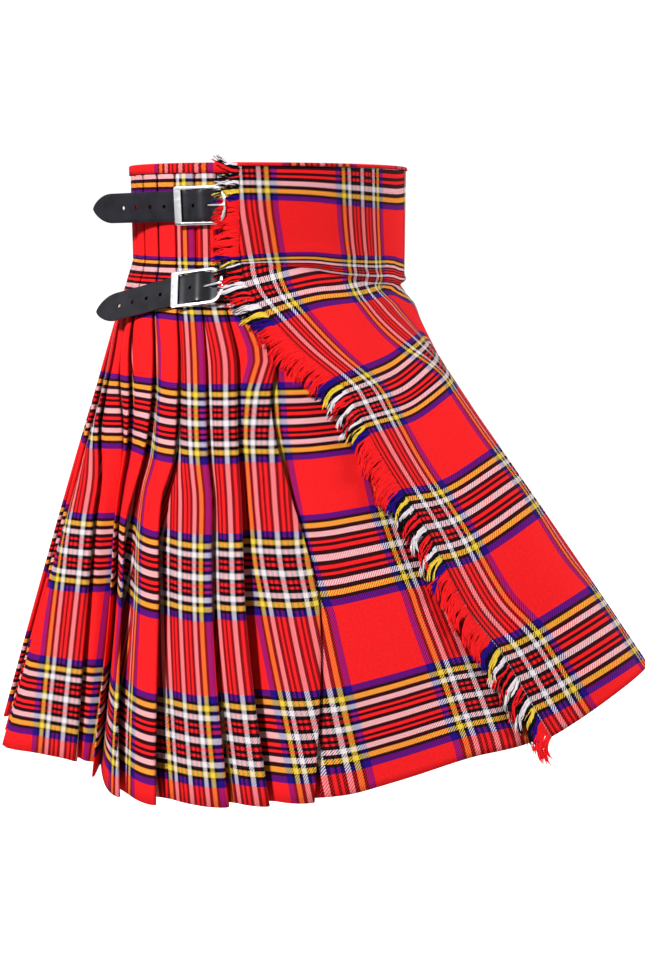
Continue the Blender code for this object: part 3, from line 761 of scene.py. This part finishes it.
# The right-hand blue stripe of the band that shows: level, facing, drawn in
BLUE_LINE = (
    (-1.0, -57.5, 1.0), (0.0, -57.5, 1.0), (0.325, -56.5, 1.0), (0.52, -53.5, 1.0),
    (0.68, -49.8, 0.97), (0.82, -48.5, 0.88), (0.97, -47.0, 0.82), (1.0, -46.8, 0.82),
)
WEFT_UNDER = weft_rows(PLEATS_WEFT_TOP, -1.0, -0.718, -0.028, 0.11, 0.2425, 0.3825, 0.50, 0.66,
                       0.82, 0.955, 1.0)


def last_folds(level):
    return fold_facing(FOLDS - 2, level), fold_facing(FOLDS - 1, level)


def under_apron_out(distance, level):
    """The under apron leaves the last tuck and comes out to its own layer."""
    before, after = last_folds(level)
    deep = tuck_at(0.0, pleat_depth(before, after, level))[1]
    risen = min(distance / RISE_WIDTH, 1.0)
    risen = risen * risen * (3 - 2 * risen)
    return deep + (UNDER_APRON_OUT - deep) * risen


def under_apron_start(level):
    before, after = last_folds(level)
    start = before + (after - before) * tuck_at(opening(level), 0.0)[0]
    return walk(level, start, [CLOTH + SEAM_GAP], UNDER_APRON_OUT)[0]


def make_under_apron():
    across = 72
    levels = levels_down(top_level(-20.0), 20, 72)
    distances = [UNDER_APRON_WIDTH * (c / across) for c in range(across + 1)]
    grid, warp = [], []
    for level in levels:
        start = under_apron_start(level)
        facings = [start] + walk(level, start, distances[1:], UNDER_APRON_OUT)
        grid.append([place(f, level, under_apron_out(d, level) + pinch(f, level))
                     for f, d in zip(facings, distances)])
        line = straight_between(BLUE_LINE, 1, level) + 360.0
        drawn = smooth_between(BLUE_LINE, 2, level)
        nearest = min(range(across + 1), key=lambda c: abs(facings[c] - line))
        step = (facings[nearest] - line) / 360 * 2 * math.pi * place(line, level).xy.length
        at_line = distances[nearest] - step
        warp.append([BAND_HALF + (d - at_line) * drawn for d in distances])
    weft = [smooth_between(WEFT_UNDER, 1, level) for level in levels]

    def threads(r, c, face):
        return warp[r][c], weft[r]

    return cloth_piece("inner_apron", grid, threads, WOOL)


inner_apron = make_under_apron()
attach(inner_apron, "root")
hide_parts("under_apron")


# ----------------------------------------------------------------- the waistband
# A narrow strip of the same cloth, cut without matching the checks and folded over
# the top edge. On the pleats it shows as a band; on the aprons it is turned inside
# and shows as a thin roll.
BAND_DEEP = 0.013
BAND_DEEP_BACK = 0.010
BAND_DEEP_FRONT = 0.0035
BAND_CLOTH = 0.0010
BAND_CLEAR = 0.0017
BAND_ROUND = 0.0012
BAND_WEFT = 0.052
BAND_STRIPE_FACING = 268.0


def make_waistband(name, node, first, last, inner, outer, deep_outside):
    steps = round((last - first) / 2.0)
    turn = BAND_CLOTH / 2
    quarter = [math.pi / 2 * k / 3 for k in range(4)]
    grid, warp = [], []
    for c in range(steps + 1):
        facing = first + (last - first) * c / steps
        low, high = inner(facing) - BAND_CLEAR, outer(facing) + BAND_CLEAR
        corners = [(low, -BAND_DEEP), (low, -BAND_DEEP / 2), (low, -turn - BAND_ROUND)]
        corners += [(low + BAND_ROUND * (1 - math.cos(angle)),
                     -turn - BAND_ROUND * (1 - math.sin(angle))) for angle in quarter[1:]]
        corners += [(high - BAND_ROUND * (1 - math.sin(angle)),
                     -turn - BAND_ROUND * (1 - math.cos(angle))) for angle in quarter]
        corners += [(high, -deep_outside * share) for share in (0.5, 1.0)]
        hip = ring_value("hip", facing)
        grid.append([place(facing, -1 + height / hip, out) for out, height in corners])
        turned = math.radians(turned_from(facing, BAND_STRIPE_FACING))
        warp.append(turned * waist_radius(facing))
    rows = [list(row) for row in zip(*grid)]
    weft = lengths_along(grid[0])

    def threads(r, c, face):
        return warp[c], BAND_WEFT + (weft[-1] - weft[r]) * 0.6

    band = cloth_piece(name, rows, threads, BAND_WOOL, BAND_CLOTH)
    band.data.flip_normals()
    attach(band, "root")
    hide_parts(node)


def apron_layer(facing):
    return APRON_OUT


def under_layer(facing):
    start = under_apron_start(-1.0)
    return under_apron_out(math.radians(facing - start) * waist_radius(facing), -1.0)


BAND_WOOL = tartan_cloth("waistband wool")
end_front = walk(-1.0, apron_edge(-1.0), [APRON_WIDTH], APRON_OUT)[0]
make_waistband("apron_waistband", "waistband_front", apron_edge(-1.0), end_front,
               apron_layer, apron_layer, BAND_DEEP_FRONT)
start_back, end_back = fold_facing(0, -1.0) - 5.0, fold_facing(FOLDS - 1, -1.0)
make_waistband("pleats_waistband", "waistband_back", start_back, end_back + 0.3,
               lambda facing: PLEAT[-1][1], lambda facing: 0.0, BAND_DEEP_BACK)
end_under = walk(-1.0, under_apron_start(-1.0), [UNDER_APRON_WIDTH], UNDER_APRON_OUT)[0]
make_waistband("inner_waistband", "waistband_under", end_back + 1.2, end_under,
               under_layer, under_layer, BAND_DEEP_FRONT)


# -------------------------------------------------------------------- the fringe
# The weft ends of the outer apron, frayed out along its edge. They are as thick as
# the yarn, keep the colour of their place in the sett, cling together in locks and
# lie on the cloth below. They stand up at the rim and droop more toward the hem.
# Level, length, droop in degrees, how far the tips stand off the body ring
FRINGE = (
    (-1.0, 0.024, -38.0, 0.008), (-0.93, 0.024, -20.0, 0.006),
    (-0.86, 0.024, 8.0, 0.005), (-0.80, 0.021, 14.0, 0.0125),
    (-0.42, 0.021, 10.0, 0.0125), (-0.34, 0.026, 12.0, 0.004),
    (-0.12, 0.026, 14.0, 0.004), (-0.06, 0.022, 12.0, 0.0135),
    (0.12, 0.022, 22.0, 0.0135), (0.17, 0.027, 42.0, 0.005),
    (0.5, 0.029, 52.0, 0.004), (0.9, 0.029, 50.0, 0.004),
    (1.0, 0.026, 66.0, 0.004),
)
YARN_RADIUS = 0.00062
YARN_PITCH = 0.00042
LOCK_WIDE = 0.0042
FRINGE_IN = 0.0012
FRINGE_CLEAR = 0.0010
FRINGE_BOW = 0.0018
FRINGE_END = 1.06
YARN_KNOTS = 8
YARN_TIP = 0.35
YARN_LONG = (0.8, 1.08)
YARN_THICK = (0.8, 1.25)
YARN_DROOP = 7.0
YARN_TIP_OUT = (-0.0008, 0.0012)
YARN_CURL = (0.0002, 0.0009)
# How much a whole lock varies in length, in droop and in its tips' distance out, how
# far it waves, and how much its yarns draw together
LOCK_LONG = 0.12
LOCK_DROOP = 11.0
LOCK_OUT = 0.0012
LOCK_WAVE = 0.0010
LOCK_GATHER = 0.75


def yarn_material():
    """Loose wool yarn, mottled, in the colour of its weft thread."""
    material, tree, shader = new_material("fringe yarn")
    parts = add_node(tree, "ShaderNodeSeparateXYZ",
                     {0: add_node(tree, "ShaderNodeUVMap", uv_map="cloth").outputs[0]})
    sett = add_node(tree, "ShaderNodeGroup", node_tree=SETT_GROUP)
    feed(tree, sett, {0: parts.outputs[1]})
    here = add_node(tree, "ShaderNodeTexCoord").outputs["Object"]
    fibre = add_node(tree, "ShaderNodeTexNoise", {"Vector": here, "Scale": 900.0, "Detail": 2.0})
    light = maths(tree, "MULTIPLY_ADD", fibre.outputs[0], 0.5, 0.72)
    paint = mix_colours(tree, 1.0, sett.outputs[0], light, "MULTIPLY")
    bump = bumped(tree, fibre.outputs[0], 0.4, YARN_BUMP)
    feed(tree, shader, {"Base Color": paint, "Normal": bump, "Roughness": 0.9,
                        "Specular IOR Level": WOOL_SHINE})
    return material


def fringe_yarns():
    """Each yarn's weft thread and its points, from the apron's edge to its tip."""
    rng = random.Random(7)
    levels = [top_level(-70.0) + (1.0 - top_level(-70.0)) * k / 400 for k in range(401)]
    along = lengths_along([place(apron_edge(level), level, APRON_OUT) for level in levels])
    rows = list(zip(along, levels))
    yarns = []
    count = int(along[-1] / YARN_PITCH)
    for k in range(count):
        at = along[-1] * (k + 0.5) / count
        lock = int(at / LOCK_WIDE)
        lock_rng = random.Random(lock)
        sway, wave, swell, bend = (lock_rng.uniform(-1, 1) for _ in range(4))
        level = straight_between(rows, 1, at)
        length = straight_between(FRINGE, 1, level) * (1 + LOCK_LONG * swell) * rng.uniform(*YARN_LONG)
        droop = straight_between(FRINGE, 2, level) + LOCK_DROOP * sway
        droop += rng.uniform(-YARN_DROOP, YARN_DROOP)
        tip_out = straight_between(FRINGE, 3, level) + LOCK_OUT * bend + rng.uniform(*YARN_TIP_OUT)
        edge_facing = apron_edge(level)
        radius = place(edge_facing, level).xy.length
        start, ahead = place(edge_facing, level), place(edge_facing, level + 0.01)
        steep = (start.z - ahead.z) / (ahead - start).length
        gather = (min((lock + 0.5) * LOCK_WIDE, along[-1]) - at) * LOCK_GATHER
        curl, phase = rng.uniform(*YARN_CURL), rng.uniform(0, 6.28)
        points = []
        for p in range(YARN_KNOTS):
            t = p / (YARN_KNOTS - 1)
            turn = math.radians(droop * (0.35 + 0.65 * t))
            across = -FRINGE_IN + (length + FRINGE_IN) * t * math.cos(turn)
            down = length * t * math.sin(turn) + gather * t
            down += LOCK_WAVE * wave * math.sin(5.0 * t) + curl * math.sin(9.0 * t + phase)
            across += curl * math.cos(8.0 * t + phase)
            out = APRON_OUT + FRINGE_CLEAR + FRINGE_BOW * math.sin(math.pi * min(1.6 * t, 1.0))
            out += (tip_out - APRON_OUT) * t * t
            out += rng.uniform(0, 0.0002)
            facing = edge_facing - math.degrees(across / radius)
            lower = level_at(edge_facing, start.z - down * steep)
            points.append(place(facing, min(lower, FRINGE_END), out))
        yarns.append((apron_weft(0.0, level), points, rng.uniform(*YARN_THICK)))
    return yarns


def only_material(mesh, material):
    mesh.materials.clear()
    mesh.materials.append(material)


def new_curve(name, **settings):
    return set_all(bpy.data.curves.new(name, "CURVE"), settings)


def poly_spline(curve, knots):
    """A straight-sided spline through knots of x, y, z and radius."""
    spline = curve.splines.new("POLY")
    spline.points.add(len(knots) - 1)
    for point, (*co, radius) in zip(spline.points, knots):
        point.co = (*co, 1.0)
        point.radius = radius
    return spline


def mesh_of(curve):
    """The mesh that a curve makes, taken through an object that is then removed."""
    source = bpy.data.objects.new(curve.name, curve)
    shown_parts.objects.link(source)
    graph = bpy.context.evaluated_depsgraph_get()
    mesh = bpy.data.meshes.new_from_object(source.evaluated_get(graph))
    bpy.data.objects.remove(source, do_unlink=True)
    return mesh


def yarn_piece(name, yarns, material):
    """Round yarns along their points, each with its weft thread as its colour."""
    curve = new_curve(name, dimensions="3D", bevel_depth=YARN_RADIUS, bevel_resolution=0,
                      use_fill_caps=False)
    for _, points, thick in yarns:
        radii = [thick] * (len(points) - 1) + [thick * YARN_TIP]
        poly_spline(curve, [(*co, radius) for co, radius in zip(points, radii)])
    mesh = mesh_of(curve)
    around = len(mesh.vertices) // sum(len(points) for _, points, _ in yarns)
    wefts = []
    for weft, points, _ in yarns:
        wefts += [(k / (len(points) - 1), weft) for k in range(len(points)) for _ in range(around)]
    layer = mesh.uv_layers.get("cloth") or mesh.uv_layers.new(name="cloth")
    for loop in mesh.loops:
        layer.data[loop.index].uv = wefts[loop.vertex_index]
    only_material(mesh, material)
    mesh.shade_smooth()
    return shown_piece(name, mesh)


fringe = yarn_piece("fringe", fringe_yarns(), yarn_material())
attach(fringe, "root")
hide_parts("apron_fringe")


# ----------------------------------------------------------- straps and buckles
# Two black leather straps are sewn under the apron's edge. Each runs under its
# buckle's nose, over the pivot bar and under the keeper, with the prong through a
# punched hole. The leather is smooth and glossy, cut square with burnished edges.
STRAP_HIGH = 0.0305
STRAP_THICK = 0.0018
STRAP_ROOT_RUNS = (-0.042, -0.0365, -0.031)
STRAP_ROOT_OUT = 0.0027
STRAP_TIP = 0.027
STRAP_POINT = 0.72
STRAP_STEP = 0.0022
BURNISHED = 0.0005
LEATHER_CORNER = math.radians(50)
HOLE_RADIUS = 0.0021
HOLE_PITCH = 0.0183
TAIL_HOLES = 4
PRONG_HOLE_LONG = 0.0100
PRONG_HOLE_AT = -0.0095
# Run along the strap from the pivot bar, distance out
STRAP_WEAVE = (
    (-0.028, 0.0004), (-0.0235, 0.0030), (-0.017, 0.0044), (-0.0115, 0.0050),
    (-0.0045, 0.0091), (0.0, 0.0103), (0.005, 0.0096), (0.0145, 0.0053),
    (0.0225, 0.0048), (0.030, 0.0040),
)
# Name, facing, height, tilt, the run at which it leaves the body, the tail's end
FASTENINGS = (
    ("upper", -82.9, -0.042, 1.5, 0.0375, 0.1425),
    ("lower", -82.9, -0.1255, 8.5, 0.0575, 0.1315),
)


def buckle_matrix(facing, height, tilt):
    """The buckle's frame: X toward the strap's tip, Y outward, Z across the strap."""
    turn = math.radians(facing)
    above, below = (
        place(facing, level_at(facing, height + side * STRAP_HIGH / 2)) for side in (1, -1)
    )
    up = (above - below).normalized()
    along = Vector((-math.cos(turn), -math.sin(turn), 0.0))
    outward = up.cross(along)
    lean = Matrix.Rotation(math.radians(tilt), 3, outward)
    matrix = Matrix((lean @ along, outward, lean @ up)).transposed().to_4x4()
    matrix.translation = (above + below) / 2
    return matrix


def body_drop(matrix, run):
    """How far the body ring lies behind the buckle's flat plane, a run away."""
    outward = matrix.to_3x3().col[1]
    drop = 0.0
    for _ in range(4):
        point = matrix @ Vector((run, -drop, 0.0))
        facing = math.degrees(math.atan2(point.x, -point.y))
        drop += (point - place(facing, level_at(facing, point.z))).dot(outward)
    return drop


def strap_route(matrix, leaves_at, tail):
    """Rows of run and distance out of the strap's middle, from its root to its tip."""
    rows = [(run, STRAP_ROOT_OUT - body_drop(matrix, run)) for run in STRAP_ROOT_RUNS]
    rows += STRAP_WEAVE
    woven_to, woven_out = STRAP_WEAVE[-1]
    standing = woven_out + body_drop(matrix, woven_to)
    held = leaves_at - woven_to
    if held > 0:
        for share in (0.5, 1.0):
            run = woven_to + held * share
            rows.append((run, standing - body_drop(matrix, run)))
    before, last = rows[-2], rows[-1]
    steep = (last[1] - before[1]) / (last[0] - before[0])
    rows.append((tail, last[1] + steep * (tail - last[0])))
    return rows


def grain_group():
    """Fine pebbled grain with a few shallow creases across the leather."""
    group, given, result = effect_group(
        "Leather grain",
        (("Place", "NodeSocketVector", None), ("Scale", "NodeSocketFloat", 1400.0)),
        (("Height", "NodeSocketFloat"), ("Wear", "NodeSocketFloat")))
    pebble = add_node(group, "ShaderNodeTexVoronoi", {"Vector": given.outputs[0],
                                                      "Scale": given.outputs[1]})
    broad = add_node(group, "ShaderNodeTexNoise", {"Vector": given.outputs[0], "Scale": 60.0,
                                                   "Detail": 3.0})
    height = maths(group, "ADD", maths(group, "MULTIPLY", pebble.outputs[0], 0.35), broad.outputs[0])
    feed(group, result, {0: height, 1: broad.outputs[0]})
    return group


GRAIN_GROUP = grain_group()
GRAIN_BUMP = 0.0004


def black_leather():
    material, tree, shader = new_material("black leather")
    grain = add_node(tree, "ShaderNodeGroup", node_tree=GRAIN_GROUP)
    feed(tree, grain, {"Place": add_node(tree, "ShaderNodeTexCoord").outputs["Object"]})
    shade = spread(tree, grain.outputs["Wear"], 0.3, 0.7, 0.0, 1.0)
    paint = mix_colours(tree, shade, (0.003, 0.003, 0.005, 1), (0.010, 0.010, 0.016, 1))
    gloss = spread(tree, grain.outputs["Wear"], 0.2, 0.8, 0.36, 0.42)
    bump = bumped(tree, grain.outputs["Height"], 0.12, GRAIN_BUMP)
    feed(tree, shader, {"Base Color": paint, "Roughness": gloss,
                        "Normal": bump, "Specular IOR Level": 0.22,
                        "Coat Weight": 0.12, "Coat Roughness": 0.12})
    return material


LEATHER = black_leather()


def make_solid(piece):
    """Make the piece's modifiers into its mesh."""
    graph = bpy.context.evaluated_depsgraph_get()
    mesh = bpy.data.meshes.new_from_object(piece.evaluated_get(graph))
    piece.modifiers.clear()
    piece.data = mesh


def make_strap(name, node, matrix, leaves_at, tail):
    root, tip = STRAP_ROOT_RUNS[0], tail - STRAP_TIP
    steps = round((tip - root) / STRAP_STEP)
    runs = [root + (tip - root) * k / steps for k in range(steps)]
    runs += [tip + STRAP_TIP * math.sin(math.pi / 2 * k / 14) for k in range(15)]
    bm = bmesh.new()
    rows = []
    for run in runs:
        past = max(run - tip, 0.0) / STRAP_TIP
        half = STRAP_HIGH / 2 * max(1 - past ** 2, 0.012) ** STRAP_POINT
        rows.append([bm.verts.new((run, 0.0, half * k / 4)) for k in range(-4, 5)])
    for before, after in zip(rows, rows[1:]):
        for k in range(8):
            bm.faces.new((before[k], after[k], after[k + 1], before[k + 1]))
    strap = shown_piece(name, finished_mesh(name, bm))
    add_modifier(strap, "wall", "SOLIDIFY", thickness=STRAP_THICK, offset=0.0)
    add_modifier(strap, "burnished edge", "BEVEL", width=BURNISHED, segments=3,
                 limit_method="ANGLE", angle_limit=LEATHER_CORNER)
    holes = [(PRONG_HOLE_AT, PRONG_HOLE_LONG / 2), (PRONG_HOLE_AT + HOLE_PITCH, HOLE_RADIUS)]
    first = PRONG_HOLE_AT + 3 * HOLE_PITCH
    holes += [(first + k * HOLE_PITCH, HOLE_RADIUS) for k in range(TAIL_HOLES)]
    bm = bmesh.new()
    for run, half_long in holes:
        ends = bmesh.ops.create_cone(bm, cap_ends=True, segments=20, radius1=HOLE_RADIUS,
                                     radius2=HOLE_RADIUS, depth=STRAP_THICK * 4)["verts"]
        bmesh.ops.rotate(bm, verts=ends, matrix=Matrix.Rotation(math.pi / 2, 3, "X"))
        bmesh.ops.scale(bm, verts=ends, vec=(half_long / HOLE_RADIUS, 1, 1))
        bmesh.ops.translate(bm, verts=ends, vec=(run, 0.0, 0.0))
    punch = shown_piece(name + "_punch", finished_mesh(name + "_punch", bm))
    add_modifier(strap, "punched holes", "BOOLEAN", operation="DIFFERENCE", solver="EXACT",
                 object=punch)
    make_solid(strap)
    bpy.data.objects.remove(punch, do_unlink=True)
    route = strap_route(matrix, leaves_at, tail)
    near = 0.0005
    for vertex in strap.data.vertices:
        run, thick, up = vertex.co
        rise = smooth_between(route, 1, run + near) - smooth_between(route, 1, run - near)
        steep = math.atan(rise / (2 * near))
        out = smooth_between(route, 1, run) + thick * math.cos(steep)
        vertex.co = matrix @ Vector((run - thick * math.sin(steep), out, up))
    only_material(strap.data, LEATHER)
    strap.data.shade_smooth()
    strap.data.set_sharp_from_angle(angle=LEATHER_CORNER)
    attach(strap, "root")
    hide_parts(node)


for name, facing, height, tilt, leaves_at, tail in FASTENINGS:
    make_strap(name + "_leather_strap", name + "_strap",
               buckle_matrix(facing, height, tilt), leaves_at, tail)
    only_material(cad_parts[name + "_chape"].data, LEATHER)


# Each buckle is a flat D of polished, plated metal: two rails and a round nose,
# with a broad keeper across its other end, a pivot bar and a loose prong.
BUCKLE_LONG = 0.056
BUCKLE_AHEAD = 0.030
BUCKLE_HIGH = 0.038
BUCKLE_RAIL = 0.0026
BUCKLE_KEEPER = 0.0072
BUCKLE_THICK = 0.0024
BUCKLE_EDGE = 0.0004
BUCKLE_OUT = 0.0078
BUCKLE_ROUND = 0.0009
BAR_RADIUS = 0.0010
# Run, out, up, radius
PRONG = (
    (-0.0016, 0.0068, 0.0, 0.0013), (-0.0065, 0.0069, 0.0, 0.0013),
    (-0.0112, 0.0082, 0.0, 0.0013), (-0.0175, 0.0100, 0.0, 0.0013),
    (-0.0235, 0.0110, 0.0, 0.0013), (-0.0272, 0.0108, 0.0, 0.0008),
)


def plated_metal():
    material, tree, shader = new_material("plated metal")
    here = add_node(tree, "ShaderNodeTexCoord")
    rub = add_node(tree, "ShaderNodeTexNoise", {"Vector": here.outputs["Object"], "Scale": 260.0,
                                                "Detail": 4.0})
    dull = spread(tree, rub.outputs[0], 0.3, 0.75, 0.12, 0.30)
    paint = mix_colours(tree, rub.outputs[0], (0.80, 0.81, 0.84, 1), (0.95, 0.95, 0.96, 1))
    feed(tree, shader, {"Base Color": paint, "Roughness": dull, "Metallic": 1.0})
    return material


METAL = plated_metal()


def rounded_outline(left, right, half, corner, nose, steps):
    """Points of a buckle outline: small corners by the keeper, a round nose."""
    points = []
    for cx, cz, radius, start in (
        (left - corner, half - corner, corner, 0),
        (right + nose, half - nose, nose, 90),
        (right + nose, nose - half, nose, 180),
        (left - corner, corner - half, corner, 270),
    ):
        for k in range(steps + 1):
            turn = math.radians(start + 90 * k / steps)
            points.append((cx + radius * math.cos(turn), cz + radius * math.sin(turn)))
    return points


def make_buckle_frame(name, node, matrix):
    half, keeper_end = BUCKLE_HIGH / 2, BUCKLE_AHEAD
    nose_end = BUCKLE_AHEAD - BUCKLE_LONG
    outline = new_curve(name, dimensions="2D", fill_mode="BOTH",
                        extrude=BUCKLE_THICK / 2 - BUCKLE_ROUND, bevel_depth=BUCKLE_ROUND,
                        bevel_resolution=3, offset=BUCKLE_EDGE - BUCKLE_ROUND)
    for points in (rounded_outline(keeper_end, nose_end, half, 0.002, 0.0135, 12),
                   rounded_outline(keeper_end - BUCKLE_KEEPER, nose_end + BUCKLE_RAIL,
                                   half - BUCKLE_RAIL, 0.0008, 0.0115, 12)):
        spline = poly_spline(outline, [(x, z, 0.0, 1.0) for x, z in points])
        spline.use_cyclic_u = True
    mesh = mesh_of(outline)
    bm = bmesh.new()
    bm.from_mesh(mesh)
    bmesh.ops.remove_doubles(bm, verts=bm.verts, dist=0.00001)
    for vertex in bm.verts:
        x, z, out = vertex.co
        vertex.co = matrix @ Vector((x, BUCKLE_OUT + out, z))
    bmesh.ops.reverse_faces(bm, faces=bm.faces)
    bm.to_mesh(mesh)
    bm.free()
    only_material(mesh, METAL)
    mesh.shade_smooth()
    mesh.set_sharp_from_angle(angle=math.radians(40))
    ring = shown_piece(name, mesh)
    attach(ring, "root")
    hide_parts(node)


def make_rod(name, node, matrix, route):
    """A round rod along a few points with their own radii."""
    curve = new_curve(name, dimensions="3D", bevel_depth=1.0, bevel_resolution=4,
                      use_fill_caps=True)
    poly_spline(curve, [(*(matrix @ Vector(place_at)), radius) for *place_at, radius in route])
    mesh = mesh_of(curve)
    only_material(mesh, METAL)
    mesh.shade_smooth()
    rod = shown_piece(name, mesh)
    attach(rod, "root")
    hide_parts(node)


bar_reach = BUCKLE_HIGH / 2 - BUCKLE_RAIL - BUCKLE_EDGE - SEAM_GAP
for name, facing, height, tilt, leaves_at, tail in FASTENINGS:
    matrix = buckle_matrix(facing, height, tilt)
    make_buckle_frame(name + "_buckle", name + "_buckle_frame", matrix)
    make_rod(name + "_pivot_bar", name + "_buckle_bar", matrix,
             [(0.0, BUCKLE_OUT, side * bar_reach, BAR_RADIUS) for side in (-1, 1)])
    make_rod(name + "_prong", name + "_buckle_prong", matrix, PRONG)
